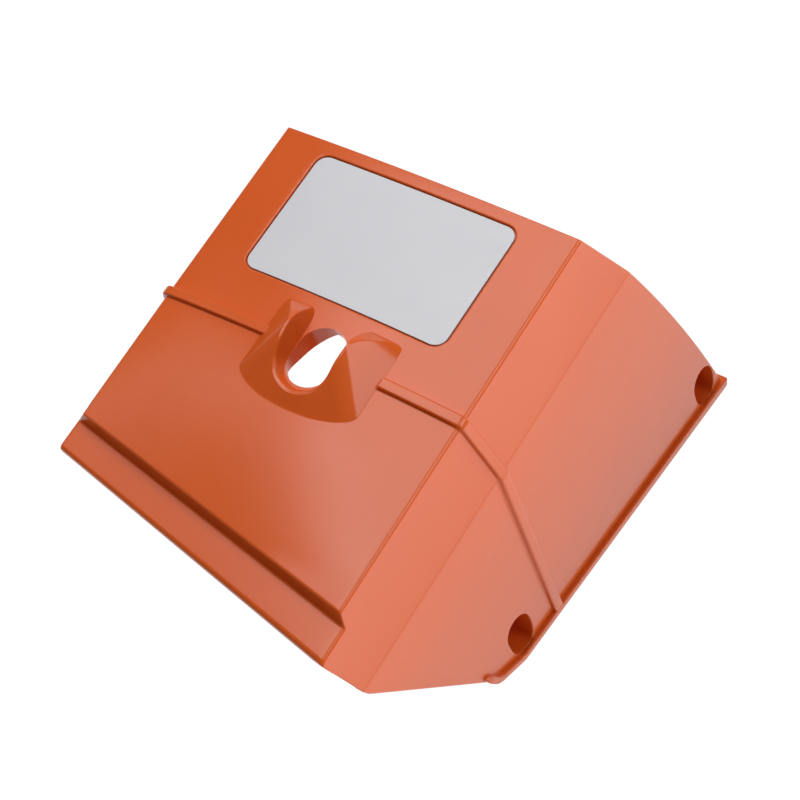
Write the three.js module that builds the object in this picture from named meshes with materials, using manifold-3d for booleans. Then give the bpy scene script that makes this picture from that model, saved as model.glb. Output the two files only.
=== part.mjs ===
// Moulded top cover for a small engine: one thin-walled shell with a recessed nameplate.
// Millimetres, +Z up (square to the top panel), +Y towards the nameplate end, +X towards the
// long screw-on wall. The shell is modelled about a point near the middle of the nameplate, and
// the group is then moved so that the origin lies at the bottom centre of the bounding box.
import * as THREE from 'three';
import { mergeVertices } from 'three/addons/utils/BufferGeometryUtils.js';
import Module from 'manifold-3d';

const wasm = await Module();
wasm.setup();

// ---- driving dimensions ----------------------------------------------------------------
const WALL = 2.8;                    // general wall thickness

const TOP_HALF_WIDTH = 60;           // top panel, crease to crease
const FRONT_Y = 30;                  // straight front edge of the top panel
const CROWN_MAX = 3.7;               // how far the top panel bulges at its crown line
const CROWN_FRONT = 1.5;             // what is left of the bulge at the front edge
const CROWN_Y = -50;                 // where the bulge is highest
const CROWN_RUN = 60;                // and how far behind that it dies out

const SHOULDER_X = 68.3;             // outer face of both side walls, below the steep facet
const SHOULDER_Z = -27.7;            // lower crease of the facet
const SHOULDER_CUT = 1.1;            // the rear edge is cut back by this at that crease

const REAR_SKEW = 0.188;             // back edge and step run about 10 degrees out of square
const STEP_SKEW = 0.169;
const STEP_Y = -106.7;               // top edge of the step, at x = 0
const STEP_RUN = 1.9;                // draft of the riser
const STEP_DROP = 5.3;               // how far the rear shelf lies below the top panel
const REAR_Y = -121;                 // rear edge of the shelf, at x = 0
const LEFT_FLARE = 1.5;             // the shelf's left end reaches this far past the facet
const LEFT_TAPER = 0.7;              // the panel narrows this much on the left, bead to step
const REAR_LIP = 4;                  // turned-down rear lip
const REAR_LIP_END = 1.8;            // which is this much at its right end
const REAR_ROUND = 1.5;              // rounding between shelf and lip
const SHOULDER_THIN = 0.4;           // the inner shoulder lies this much below the outer one

const FLANGE_SLOPE = 0.226;          // the screw flange falls towards the front
const FLANGE_Z = -146.4;             // its underside at y = 0
const LIP_HEIGHT = 3.8;              // outward lip along the flange, at y = 0
const LIP_TAPER = 0.01;              // the lip grows taller towards the front by this slope
const LIP_REACH = 1.8;
const RAIL_INSET = 0.3;              // the rail behind the lip is this much thicker than the wall
const RAIL_DROP = 0.5;               // and reaches this far below the wall's own edge
const LIP_TAIL = 13;                 // the lip turns the rear corner and runs this far up the edge
const CORNER_OUT = 2.9;              // the corner lies this far behind the edge's foot
const CORNER_BULGE = 0.7;            // and stands out past the edge by this
const KINK_Y = -69.5;                // behind here the flange rises more steeply to the corner
const KINK_SLOPE = 0.65;
const FRONT_FOOT_Y = 77.2;           // where front edge and flange meet
const REAR_FOOT_Y = -80.5;           // where rear edge and flange meet
const LEFT_WALL_Z = -48;             // lower edge of the short left wall

const BEAD_FRONT_Y = -42.6;          // raised bead across top and sides
const BEAD_WIDTH = 5;
const BEAD_LEFT_WIDTH = 4.4;         // it is narrower left of the boss
const BEAD_FOOT_WIDTH = 5.6;         // and wider down the long wall
const BEAD_HEIGHT = 1.7;
const BEAD_TAPER = 0.5;
const BEAD_SUNK = 1;                 // how far its foot is buried in the wall
const BEAD_ENDS = [-14.6, 29.4];     // it stops at the boss, at these values of x

const PLATE_LENGTH = 81;
const PLATE_WIDTH = 49.8;
const PLATE_X = -0.65;               // middle of the plate
const PLATE_Y = -0.45;
const PLATE_RADIUS = 4.5;
const PLATE_THICK = 0.65;
const PLATE_SUNK = 0.3;              // plate face below the panel around it
const FILM_THICK = 0.15;
const REST_GAP = 0.1;                // clearance between plate, film and recess floor
const RECESS_MARGIN = 0.45;
const RECESS_DEPTH = PLATE_SUNK + PLATE_THICK + FILM_THICK + 2 * REST_GAP;

const BOSS_X = 4.8;                  // centre line of the horned boss and its opening
const BOSS_LEFT_SHARE = 0.915;       // its foot reaches less far to the left than to the right
const BOSS_SUNK = 1.5;               // how far its inner foot is buried in the panel
const HOLE_HALF_WIDTH = 8.6;
const HOLE_FRONT_Y = -43.2;          // centres of the two round ends of the opening
const HOLE_REAR_Y = -49;
const SKIRT_WALL = 2.2;              // collar below the panel, on the left of the opening
const SKIRT_Z = -6;                  // its lowest point
const SKIRT_SLOPE_X = 0.92;          // its lower end slants up to the right by this slope
const SKIRT_SLOPE_Y = -0.38;         // and up towards the back
const SKIRT_LEVEL = 3.4;             // height of that slant at the opening's front centre

const POCKET_HALF_WIDTH = 6.6;       // egg-shaped screw pockets in the long wall
const POCKET_HALF_HEIGHT = 9.2;
const POCKET_RISE = 17;              // their widest place above the flange
const POCKET_FOOT = 4.8;             // half width of its flat floor, level with the lip's top
const POCKET_DEPTH = 12;
const POCKET_WALL = 2.2;
const POCKET_YS = [-65.3, 65.4];
const POCKET_RAISE = 0.3;            // the pockets' housings end this far above the flange face
const SCREW_HOLE_RADIUS = 2.9;

const RIB_THICK = 1.8;               // stiffening ribs under the top panel
const RIB_DEPTH = 6;
const RIB_YS = [-20, -75];

// ---- the surfaces ----------------------------------------------------------------------
const lerp = THREE.MathUtils.lerp;
const crownLine = (y) => (y > CROWN_Y
  ? lerp(CROWN_MAX, CROWN_FRONT, (y - CROWN_Y) / (FRONT_Y - CROWN_Y))
  : CROWN_MAX * Math.cos((Math.PI / 2) * Math.min(1, (CROWN_Y - y) / CROWN_RUN)));
const topZ = (x, y) => crownLine(y) * Math.max(0, 1 - (x / TOP_HALF_WIDTH) ** 2);
const facetX = (z) => TOP_HALF_WIDTH + (SHOULDER_X - TOP_HALF_WIDTH) * (z / SHOULDER_Z);
const rearY = (x) => REAR_Y - REAR_SKEW * x;
const stepY = (x) => STEP_Y - STEP_SKEW * x;
const flangeZ = (y) => FLANGE_Z - FLANGE_SLOPE * y;
const kinkZ = (y) => flangeZ(KINK_Y) + KINK_SLOPE * (KINK_Y - y);
const lipHeight = (y) => LIP_HEIGHT + LIP_TAPER * y;
const leftInset = (y) => LEFT_TAPER
  * THREE.MathUtils.clamp((BEAD_FRONT_Y - y) / (BEAD_FRONT_Y - STEP_Y), 0, 1);

// Front and rear edges of the side walls, as curves in (y, z).
const point = (y, z) => new THREE.Vector2(y, z);
const frontEdge = new THREE.QuadraticBezierCurve(
  point(39.6, SHOULDER_Z), point(62.7, -95.8), point(FRONT_FOOT_Y, flangeZ(FRONT_FOOT_Y)));
const rearShoulderY = -130.3;
const rearEdge = new THREE.LineCurve(
  point(rearShoulderY, SHOULDER_Z), point(REAR_FOOT_Y, flangeZ(REAR_FOOT_Y)));
const leftShoulderFrontY = 40;
const leftFrontY = 45;
const leftShoulderRearY = -96;
const leftFootRearY = -88.5;

// ---- mesh helpers ----------------------------------------------------------------------
// A closed body through a row of loops with equal numbers of points. In each loop, point i
// faces point n-1-i, and the two end caps are filled between those pairs.
function loft(loops) {
  const count = loops[0].length;
  const positions = loops.flat(2);
  const index = [];
  for (let row = 0; row + 1 < loops.length; row += 1) {
    for (let i = 0; i < count; i += 1) {
      const a = row * count + i;
      const b = row * count + ((i + 1) % count);
      index.push(a, b, b + count, a, b + count, a + count);
    }
  }
  const last = (loops.length - 1) * count;
  for (let i = 0; i + 1 < count / 2; i += 1) {
    const j = count - 1 - i;
    index.push(i, j, j - 1, i, j - 1, i + 1);
    index.push(last + i, last + j - 1, last + j, last + i, last + i + 1, last + j - 1);
  }
  const geometry = new THREE.BufferGeometry();
  geometry.setAttribute('position', new THREE.Float32BufferAttribute(positions, 3));
  geometry.setIndex(index);
  return geometry;
}

function signedVolume(vertices, triangles) {
  let sum = 0;
  const corner = [new THREE.Vector3(), new THREE.Vector3(), new THREE.Vector3()];
  for (let t = 0; t < triangles.length; t += 3) {
    corner.forEach((v, k) => v.fromArray(vertices, 3 * triangles[t + k]));
    sum += corner[0].dot(corner[1].cross(corner[2]));
  }
  return sum;
}

function solid(geometry) {
  const bare = geometry.clone();
  bare.deleteAttribute('normal');
  bare.deleteAttribute('uv');
  const merged = mergeVertices(bare, 1e-4);
  const vertProperties = new Float32Array(merged.attributes.position.array);
  const triVerts = new Uint32Array(merged.index.array);
  if (signedVolume(vertProperties, triVerts) < 0) {
    for (let t = 0; t < triVerts.length; t += 3) {
      [triVerts[t], triVerts[t + 1]] = [triVerts[t + 1], triVerts[t]];
    }
  }
  return new wasm.Manifold(new wasm.Mesh({ numProp: 3, vertProperties, triVerts }));
}

function geometryOf(body) {
  const mesh = body.getMesh();
  const geometry = new THREE.BufferGeometry();
  geometry.setAttribute('position', new THREE.BufferAttribute(mesh.vertProperties, mesh.numProp));
  geometry.setIndex(new THREE.BufferAttribute(mesh.triVerts, 1));
  const flat = geometry.toNonIndexed();
  flat.computeVertexNormals();
  return flat;
}

// An outline in plan, as a prism between two heights.
function prismZ(shape, low, high) {
  const geometry = new THREE.ExtrudeGeometry(shape, {
    depth: high - low, bevelEnabled: false, curveSegments: 12,
  });
  return geometry.translate(0, 0, low);
}

// An outline in (y, z), as a prism between two values of x.
function prismX(shape, low, high) {
  const geometry = new THREE.ExtrudeGeometry(shape, {
    depth: high - low, bevelEnabled: false, curveSegments: 10,
  });
  const axes = new THREE.Matrix4().makeBasis(
    new THREE.Vector3(0, 1, 0), new THREE.Vector3(0, 0, 1), new THREE.Vector3(1, 0, 0));
  return geometry.applyMatrix4(axes).translate(low, 0, 0);
}

// ---- the thin-walled shell -------------------------------------------------------------
// Each row is one closed section: outer points from the left foot over the top to the right
// foot, then the inner points back again. Rows run from the rear lip to the front edge.
const CREASE_INSET = 2.2;
const topXs = [-1, -0.83, -0.66, -0.5, -0.33, -0.17, 0, 0.17, 0.33, 0.5, 0.66, 0.83, 1];
const FRONT_ROWS = 11;

function rowSpecs() {
  const specs = [
    { drop: STEP_DROP + REAR_LIP, endDrop: STEP_DROP + REAR_LIP_END, y: rearY,
      inDrop: STEP_DROP + REAR_LIP, shift: WALL },
    { drop: STEP_DROP + REAR_ROUND, y: rearY, inDrop: STEP_DROP + WALL + REAR_ROUND, shift: WALL },
    { drop: STEP_DROP, y: (x) => rearY(x) + REAR_ROUND, inDrop: STEP_DROP + WALL, shift: WALL },
    { drop: STEP_DROP, y: (x) => stepY(x) - STEP_RUN, inDrop: STEP_DROP + WALL, shift: WALL },
    { drop: 0, y: stepY, inDrop: WALL, shift: WALL },
  ];
  for (let k = 1; k <= FRONT_ROWS; k += 1) {
    const part = k / FRONT_ROWS;
    specs.push({ drop: 0, y: (x) => lerp(stepY(x), FRONT_Y, part), inDrop: WALL,
      shift: WALL * (1 - part) });
  }
  return specs;
}

function shellSection(spec, along) {
  const outer = [];
  const inner = [];
  const side = (sign) => {
    const front = sign > 0 ? frontEdge.getPoint(0).x : leftShoulderFrontY;
    const rear = sign > 0 ? rearShoulderY + SHOULDER_CUT : leftShoulderRearY;
    const y = lerp(rear, front, along);
    const x = sign * SHOULDER_X;
    const innerZ = SHOULDER_Z - SHOULDER_THIN;
    return { out: [x, y, SHOULDER_Z], in: [x - sign * WALL, y, innerZ] };
  };
  const foot = (sign) => {
    const rear = sign > 0 ? REAR_FOOT_Y : leftFootRearY;
    const front = sign > 0 ? FRONT_FOOT_Y : leftFrontY;
    const y = lerp(rear, front, along);
    const z = sign > 0 ? flangeZ(y) + RAIL_DROP : LEFT_WALL_Z;
    const x = sign * SHOULDER_X;
    return { out: [x, y, z], in: [x - sign * WALL, y, z] };
  };
  // More points between shoulder and foot let the long wall's edges curve.
  const between = (share) => {
    const rear = rearEdge.getPoint(share);
    const front = frontEdge.getPoint(share);
    const y = lerp(rear.x, front.x, along);
    const z = lerp(rear.y, front.y, along);
    return { out: [SHOULDER_X, y, z], in: [SHOULDER_X - WALL, y, z] };
  };
  const top = topXs.map((share) => {
    const edge = Math.abs(share) === 1;
    const drop = share === 1 && spec.endDrop ? spec.endDrop : spec.drop;
    const lowered = Math.min(1, spec.drop / STEP_DROP);
    const flare = share < 0 ? LEFT_FLARE * lowered - leftInset(spec.y(0)) * (1 - lowered) : 0;
    const reach = edge ? facetX(-drop) + flare : TOP_HALF_WIDTH;
    const x = share * reach;
    const y = spec.y(x);
    const z = (drop === 0 ? topZ(x, y) : 0) - drop;
    const inX = share * (reach - CREASE_INSET);
    const inY = spec.y(inX) + spec.shift;
    const inZ = (spec.drop === 0 ? topZ(inX, inY) : 0) - spec.inDrop;
    return { out: [x, y, z], in: [inX, inY, inZ] };
  });
  const points = [foot(-1), side(-1), ...top, side(1),
    between(0.05), between(0.25), between(0.5), between(0.75), foot(1)];
  points.forEach((p) => {
    outer.push(p.out);
    inner.unshift(p.in);
  });
  return [...outer, ...inner];
}

function shellWall() {
  const specs = rowSpecs();
  const rearEnd = rearY(0);
  const loops = specs.map((spec) => {
    const along = (spec.y(0) - rearEnd) / (FRONT_Y - rearEnd);
    return shellSection(spec, along);
  });
  // The first rows share one height range on the side walls, so they are spread a little.
  const sideRows = [0, 0.012, 0.024];
  sideRows.forEach((along, row) => {
    loops[row] = shellSection(specs[row], along);
  });
  return solid(loft(loops));
}

// ---- raised bead -----------------------------------------------------------------------
function beadLoop(width, x, z, outX, outZ) {
  const front = BEAD_FRONT_Y;
  const rear = front - width;
  const at = (y, lift) => [x + outX * lift, y, z + outZ * lift];
  return [at(rear, -BEAD_SUNK), at(rear + BEAD_TAPER, BEAD_HEIGHT),
    at(front - BEAD_TAPER, BEAD_HEIGHT), at(front, -BEAD_SUNK)];
}

function bead(sign) {
  const innerX = sign < 0 ? BEAD_ENDS[0] : BEAD_ENDS[1];
  const width = sign < 0 ? BEAD_LEFT_WIDTH : BEAD_WIDTH;
  const footWidth = sign < 0 ? BEAD_LEFT_WIDTH : BEAD_FOOT_WIDTH;
  const y = BEAD_FRONT_Y - BEAD_WIDTH / 2;
  const facetLength = Math.hypot(SHOULDER_X - TOP_HALF_WIDTH, SHOULDER_Z);
  const normalX = -SHOULDER_Z / facetLength;
  const normalZ = (SHOULDER_X - TOP_HALF_WIDTH) / facetLength;
  const footZ = sign > 0 ? flangeZ(y) + 1 : LEFT_WALL_Z + 0.5;
  const loops = [];
  const steps = 6;
  for (let k = 0; k <= steps; k += 1) {
    const x = lerp(innerX, sign * TOP_HALF_WIDTH, k / steps);
    const atCrease = k === steps;
    loops.push(beadLoop(width, x, topZ(x, y), atCrease ? sign * 0.75 : 0, 1));
  }
  loops.push(beadLoop(width, sign * SHOULDER_X, SHOULDER_Z, sign * normalX, normalZ / 2));
  loops.push(beadLoop(footWidth, sign * SHOULDER_X, footZ, sign, 0));
  return solid(loft(loops));
}

// ---- horned boss -----------------------------------------------------------------------
// A C-shaped wall around the back of the opening, low at the back, with a tall horn on each
// side. Each station gives, from the boss's centre line, its inner foot, the crest's inner edge,
// how wide the crest is and the outer foot, where the outer foot is the right-hand one.
const bossStations = [
  { inner: [11.8, -30], crest: [12.8, -30.1, 3.2], land: 7.5, outer: [22.8, -30.4] },
  { inner: [10.8, -30.5], crest: [12, -30.6, 4.2], land: 8, outer: [23.8, -31] },
  { inner: [9.9, -31.4], crest: [11.4, -31.6, 5.4], land: 7.6, outer: [24.3, -32.2] },
  { inner: [9.3, -33.2], crest: [11.2, -33.4, 7.3], land: 6.2, outer: [24.5, -34.5] },
  { inner: [9, -35.6], crest: [11.2, -35.8, 9.6], land: 3.8, outer: [24.6, -38] },
  { inner: [8.8, -38.2], crest: [11.2, -38.4, 11.2], land: 2, outer: [24.7, -44] },
  { inner: [8.6, -40.3], crest: [11.2, -40.5, 11.8], land: 1.5, outer: [24.7, -58.6] },
  { inner: [8.4, -43], crest: [11.1, -43.4, 11.7], land: 1.5, outer: [23.4, -60.9] },
  { inner: [8.3, -46], crest: [10.8, -46.8, 11.2], land: 1.5, outer: [21, -62.5] },
  { inner: [8.1, -50], crest: [9.9, -53, 8.4], land: 1.5, outer: [16, -64.5] },
  { inner: [5.5, -55.3], crest: [6.3, -58.2, 6.3], land: 1.5, outer: [8.8, -66] },
  { inner: [0, -57.4], crest: [0, -60.4, 5.8], land: 1.5, outer: [0.6, -66.4] },
];

function bossWall() {
  const loopAt = (station, sign) => {
    const [crestX, crestY, crestZ] = station.crest;
    const outerX = station.outer[0] * (sign < 0 ? BOSS_LEFT_SHARE : 1);
    const toward = new THREE.Vector2(outerX - crestX, station.outer[1] - crestY);
    const reach = Math.min(station.land, 0.92 * toward.length());
    toward.setLength(reach);
    const place = (x, y, z) => [BOSS_X + sign * x, y, z];
    const sunk = (x, y, depth) => place(x, y, topZ(BOSS_X + sign * x, y) - depth);
    return [
      sunk(station.inner[0], station.inner[1], BOSS_SUNK),
      place(crestX, crestY, crestZ),
      place(crestX + toward.x, crestY + toward.y, crestZ),
      sunk(outerX, station.outer[1], 0.4),
    ];
  };
  const right = bossStations.map((station) => loopAt(station, 1));
  const left = bossStations.slice(0, -1).map((station) => loopAt(station, -1)).reverse();
  return solid(loft([...right, ...left]));
}

function slotShape(margin) {
  const radius = HOLE_HALF_WIDTH + margin;
  const shape = new THREE.Shape();
  shape.absarc(BOSS_X, HOLE_FRONT_Y, radius, 0, Math.PI, false);
  shape.absarc(BOSS_X, HOLE_REAR_Y, radius, Math.PI, 2 * Math.PI, false);
  shape.closePath();
  return shape;
}

// A collar that hangs below the panel and is cut off along a slanting plane.
function holeSkirt() {
  const collar = solid(prismZ(slotShape(SKIRT_WALL), SKIRT_Z, 1.2));
  const normal = new THREE.Vector3(-SKIRT_SLOPE_X, -SKIRT_SLOPE_Y, 1).normalize();
  const tilt = new THREE.Quaternion().setFromUnitVectors(new THREE.Vector3(0, 0, 1), normal);
  const below = new THREE.BoxGeometry(80, 80, 30).translate(0, 0, -15);
  below.applyQuaternion(tilt).translate(BOSS_X, HOLE_FRONT_Y, SKIRT_LEVEL);
  return collar.subtract(solid(below));
}

// ---- curved slabs that follow the crown (plate, film and their recess) --------------------
function crownSlab(length, width, radius, low, high) {
  const halfLength = length / 2;
  const halfWidth = width / 2;
  const xs = [];
  const cornerSteps = 6;
  for (let k = 0; k < cornerSteps; k += 1) {
    xs.push(halfLength - radius + radius * Math.cos((k / cornerSteps) * (Math.PI / 2)));
  }
  const middle = 8;
  for (let k = 0; k <= middle; k += 1) {
    xs.push(lerp(halfLength - radius, radius - halfLength, k / middle));
  }
  for (let k = cornerSteps - 1; k >= 0; k -= 1) {
    xs.push(-xs[k]);
  }
  const loops = xs.map((x) => {
    const past = Math.max(0, Math.abs(x) - (halfLength - radius));
    const reach = halfWidth - radius + Math.sqrt(Math.max(0.02, radius ** 2 - past ** 2));
    const at = (y, lift) => {
      const z = topZ(PLATE_X + x, PLATE_Y + y) + lift;
      return [PLATE_X + x, PLATE_Y + y, z];
    };
    return [at(-reach, low), at(-reach, high), at(reach, high), at(reach, low)];
  });
  return solid(loft(loops));
}

// ---- screw pockets ---------------------------------------------------------------------
function pocketShape(y) {
  const middle = flangeZ(y) + POCKET_RISE;
  const floor = flangeZ(y) + lipHeight(y);
  const fall = FLANGE_SLOPE * POCKET_FOOT;
  const shape = new THREE.Shape();
  shape.moveTo(y + POCKET_HALF_WIDTH, middle);
  shape.absellipse(y, middle, POCKET_HALF_WIDTH, POCKET_HALF_HEIGHT, 0, Math.PI);
  shape.quadraticCurveTo(
    y - POCKET_HALF_WIDTH, middle - 7, y - POCKET_FOOT, floor + fall);
  shape.lineTo(y + POCKET_FOOT, floor - fall);
  shape.quadraticCurveTo(
    y + POCKET_HALF_WIDTH, middle - 7, y + POCKET_HALF_WIDTH, middle);
  return shape;
}

// The housing around a pocket: straight sides down to the flange, oval at the top.
function housingShape(y) {
  const halfWidth = POCKET_HALF_WIDTH + POCKET_WALL;
  const fall = FLANGE_SLOPE * halfWidth;
  const floor = flangeZ(y) + POCKET_RAISE;
  const shape = new THREE.Shape();
  shape.moveTo(y - halfWidth, floor + fall);
  shape.lineTo(y + halfWidth, floor - fall);
  shape.absellipse(
    y, flangeZ(y) + POCKET_RISE, halfWidth, POCKET_HALF_HEIGHT + POCKET_WALL, 0, Math.PI);
  shape.closePath();
  return shape;
}

// The long wall's outline, pulled in a little, keeps the pockets behind its front edge.
function wallOutline(inset) {
  const shape = new THREE.Shape();
  const rearTop = rearEdge.getPoint(0.5);
  shape.moveTo(rearTop.x + inset, rearTop.y);
  shape.lineTo(REAR_FOOT_Y + inset, flangeZ(REAR_FOOT_Y) - inset);
  shape.lineTo(FRONT_FOOT_Y - inset, flangeZ(FRONT_FOOT_Y) - inset);
  frontEdge.getPoints(8).reverse().slice(1).forEach((p) => shape.lineTo(p.x - inset, p.y));
  shape.closePath();
  return shape;
}

function pocketHousing(y) {
  const back = SHOULDER_X - POCKET_DEPTH - POCKET_WALL;
  const housing = solid(prismX(housingShape(y), back, SHOULDER_X - WALL / 2));
  return housing.intersect(solid(prismX(wallOutline(0.25), back - 1, SHOULDER_X)));
}

// The fixing screw passes through the back of its pocket, square to the long wall.
function screwHole(y) {
  const geometry = new THREE.CylinderGeometry(
    SCREW_HOLE_RADIUS, SCREW_HOLE_RADIUS, 2 * POCKET_WALL, 24);
  geometry.rotateZ(Math.PI / 2);
  return solid(geometry.translate(
    SHOULDER_X - POCKET_DEPTH - POCKET_WALL / 2, y, flangeZ(y) + POCKET_RISE));
}

// Below this wedge the long wall and the rear pocket are cut away for the rising rear corner.
function cornerWedge() {
  const end = REAR_FOOT_Y - 12;
  const shape = new THREE.Shape();
  shape.moveTo(KINK_Y, kinkZ(KINK_Y) + RAIL_DROP);
  shape.lineTo(end, kinkZ(end) + RAIL_DROP);
  shape.lineTo(end, kinkZ(KINK_Y) - 8);
  shape.lineTo(KINK_Y, kinkZ(KINK_Y) - 8);
  shape.closePath();
  return solid(prismX(shape, 0, SHOULDER_X + 1));
}

// ---- flange lip ------------------------------------------------------------------------
function flangeLip() {
  const up = new THREE.Vector2().subVectors(rearEdge.v1, rearEdge.v2).normalize();
  const cornerY = REAR_FOOT_Y - CORNER_OUT - CORNER_BULGE;
  const corner = new THREE.Vector2(cornerY, kinkZ(cornerY));
  const tailEnd = corner.clone().addScaledVector(up, LIP_TAIL);
  tailEnd.x += CORNER_BULGE;
  const path = [
    tailEnd,
    corner.clone().addScaledVector(up, 4),
    corner.clone().addScaledVector(up, 1.5),
    new THREE.Vector2(cornerY + 1.6, kinkZ(cornerY + 1.6)),
    new THREE.Vector2(KINK_Y - 1, kinkZ(KINK_Y - 1)),
    new THREE.Vector2(KINK_Y + 1, flangeZ(KINK_Y + 1)),
    new THREE.Vector2(FRONT_FOOT_Y + RAIL_DROP, flangeZ(FRONT_FOOT_Y + RAIL_DROP)),
  ];
  const loops = path.map((p, k) => {
    const before = path[Math.max(0, k - 1)];
    const after = path[Math.min(path.length - 1, k + 1)];
    const along = new THREE.Vector2().subVectors(after, before).normalize();
    const inward = new THREE.Vector2(-along.y, along.x);
    const q = p.clone().addScaledVector(inward, lipHeight(p.x));
    const inX = SHOULDER_X - WALL - RAIL_INSET;
    const outX = SHOULDER_X + LIP_REACH;
    return [[inX, p.x, p.y], [outX, p.x, p.y], [outX, q.x, q.y], [inX, q.x, q.y]];
  });
  return solid(loft(loops));
}

// ---- ribs under the top panel ------------------------------------------------------------
function rib(y) {
  const edge = TOP_HALF_WIDTH - 1.5;
  const loops = topXs.map((share) => {
    const x = share * edge;
    const under = topZ(x, y) - WALL;
    const low = under - RIB_DEPTH;
    const high = under + 1;
    return [[x, y, low], [x, y, high], [x, y + RIB_THICK, high], [x, y + RIB_THICK, low]];
  });
  return solid(loft(loops));
}

// ---- the shell, complete -----------------------------------------------------------------
function coverShell() {
  let body = shellWall();
  RIB_YS.forEach((y) => {
    body = body.add(rib(y));
  });
  body = body.add(bead(-1)).add(bead(1));
  body = body.add(bossWall()).add(holeSkirt());
  POCKET_YS.forEach((y) => {
    body = body.add(pocketHousing(y));
  });
  body = body.subtract(cornerWedge());
  body = body.add(flangeLip());
  body = body.subtract(solid(prismZ(slotShape(0), -40, 40)));
  POCKET_YS.forEach((y) => {
    const pocket = solid(prismX(pocketShape(y), SHOULDER_X - POCKET_DEPTH, SHOULDER_X + 1));
    body = body.subtract(pocket).subtract(screwHole(y));
  });
  const recess = crownSlab(PLATE_LENGTH + 2 * RECESS_MARGIN, PLATE_WIDTH + 2 * RECESS_MARGIN,
    PLATE_RADIUS + RECESS_MARGIN, -RECESS_DEPTH, 3);
  return geometryOf(body.subtract(recess));
}

function plateGeometry() {
  const high = -PLATE_SUNK;
  return geometryOf(crownSlab(PLATE_LENGTH, PLATE_WIDTH, PLATE_RADIUS, high - PLATE_THICK, high));
}

function filmGeometry() {
  const low = -RECESS_DEPTH + REST_GAP;
  return geometryOf(crownSlab(
    PLATE_LENGTH - 2, PLATE_WIDTH - 2, PLATE_RADIUS - 1, low, low + FILM_THICK));
}

// ---- the assembly ------------------------------------------------------------------------
const orangePlastic = new THREE.MeshStandardMaterial({ color: 0xd9682f, roughness: 0.3, metalness: 0 });
const plateFinish = new THREE.MeshStandardMaterial({ color: 0xd6d6da, roughness: 0.55, metalness: 0.1 });
const filmFinish = new THREE.MeshStandardMaterial({ color: 0xe8e4d4, roughness: 0.8, metalness: 0 });

function named(name, geometry, material) {
  const mesh = new THREE.Mesh(geometry, material);
  mesh.name = name;
  return mesh;
}

const cover = new THREE.Group();
cover.add(named('cover_shell', coverShell(), orangePlastic));
cover.add(named('nameplate', plateGeometry(), plateFinish));
cover.add(named('nameplate_adhesive_film', filmGeometry(), filmFinish));

const box = new THREE.Box3().setFromObject(cover);
cover.position.set(-(box.min.x + box.max.x) / 2, -(box.min.y + box.max.y) / 2, -box.min.z);

export default cover;
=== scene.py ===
import math

import bmesh
import bpy
import numpy as np
from mathutils import Matrix, Vector


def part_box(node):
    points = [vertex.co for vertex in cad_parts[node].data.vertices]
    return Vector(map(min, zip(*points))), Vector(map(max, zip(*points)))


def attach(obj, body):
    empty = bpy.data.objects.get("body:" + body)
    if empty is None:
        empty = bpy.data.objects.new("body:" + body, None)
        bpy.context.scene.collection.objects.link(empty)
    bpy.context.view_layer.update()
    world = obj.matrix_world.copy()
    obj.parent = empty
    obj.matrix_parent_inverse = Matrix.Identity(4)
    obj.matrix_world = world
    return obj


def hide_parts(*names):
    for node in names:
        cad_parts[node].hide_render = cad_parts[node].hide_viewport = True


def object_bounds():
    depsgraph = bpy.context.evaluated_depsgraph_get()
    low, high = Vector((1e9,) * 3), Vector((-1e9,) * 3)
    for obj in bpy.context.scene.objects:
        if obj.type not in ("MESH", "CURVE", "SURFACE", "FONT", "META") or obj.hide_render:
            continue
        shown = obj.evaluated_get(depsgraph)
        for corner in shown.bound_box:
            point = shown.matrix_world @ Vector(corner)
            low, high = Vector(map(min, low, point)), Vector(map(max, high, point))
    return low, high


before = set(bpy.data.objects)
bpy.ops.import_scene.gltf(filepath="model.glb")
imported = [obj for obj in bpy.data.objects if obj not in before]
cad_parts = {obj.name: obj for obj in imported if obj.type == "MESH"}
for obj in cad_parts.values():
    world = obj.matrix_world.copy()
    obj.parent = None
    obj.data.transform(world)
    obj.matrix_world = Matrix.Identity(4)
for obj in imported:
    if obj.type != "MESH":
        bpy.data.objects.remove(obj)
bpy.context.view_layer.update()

# ---- sizes in millimetres, in the frame that the shell is designed in ----------------------------
WALL = 2.8

TOP_HALF_WIDTH = 60.0
FRONT_Y = 30.0
CROWN_MAX = 3.7
CROWN_FRONT = 1.5
CROWN_Y = -50.0
CROWN_RUN = 60.0
CREASE_RADIUS = 1.9
CREASE_INSET = 2.2

SHOULDER_X = 68.3
SHOULDER_Z = -27.7
SHOULDER_RADIUS = 7.0
SHOULDER_THIN = 0.4
SHOULDER_CUT = 1.1
SHOULDER_CUT_SHARE = 0.05          # of the rear edge's length, from the shoulder down

REAR_SKEW = 0.188
STEP_SKEW = 0.169
STEP_Y = -106.7
STEP_RUN = 1.9
STEP_DROP = 5.3
REAR_Y = -121.0
LEFT_FLARE = 1.5
LEFT_TAPER = 0.7
REAR_LIP = 4.0
REAR_LIP_END = 1.8
REAR_RADIUS = 1.8
RISER_RADIUS = 0.9
RIM_RADIUS = 0.45

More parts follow.
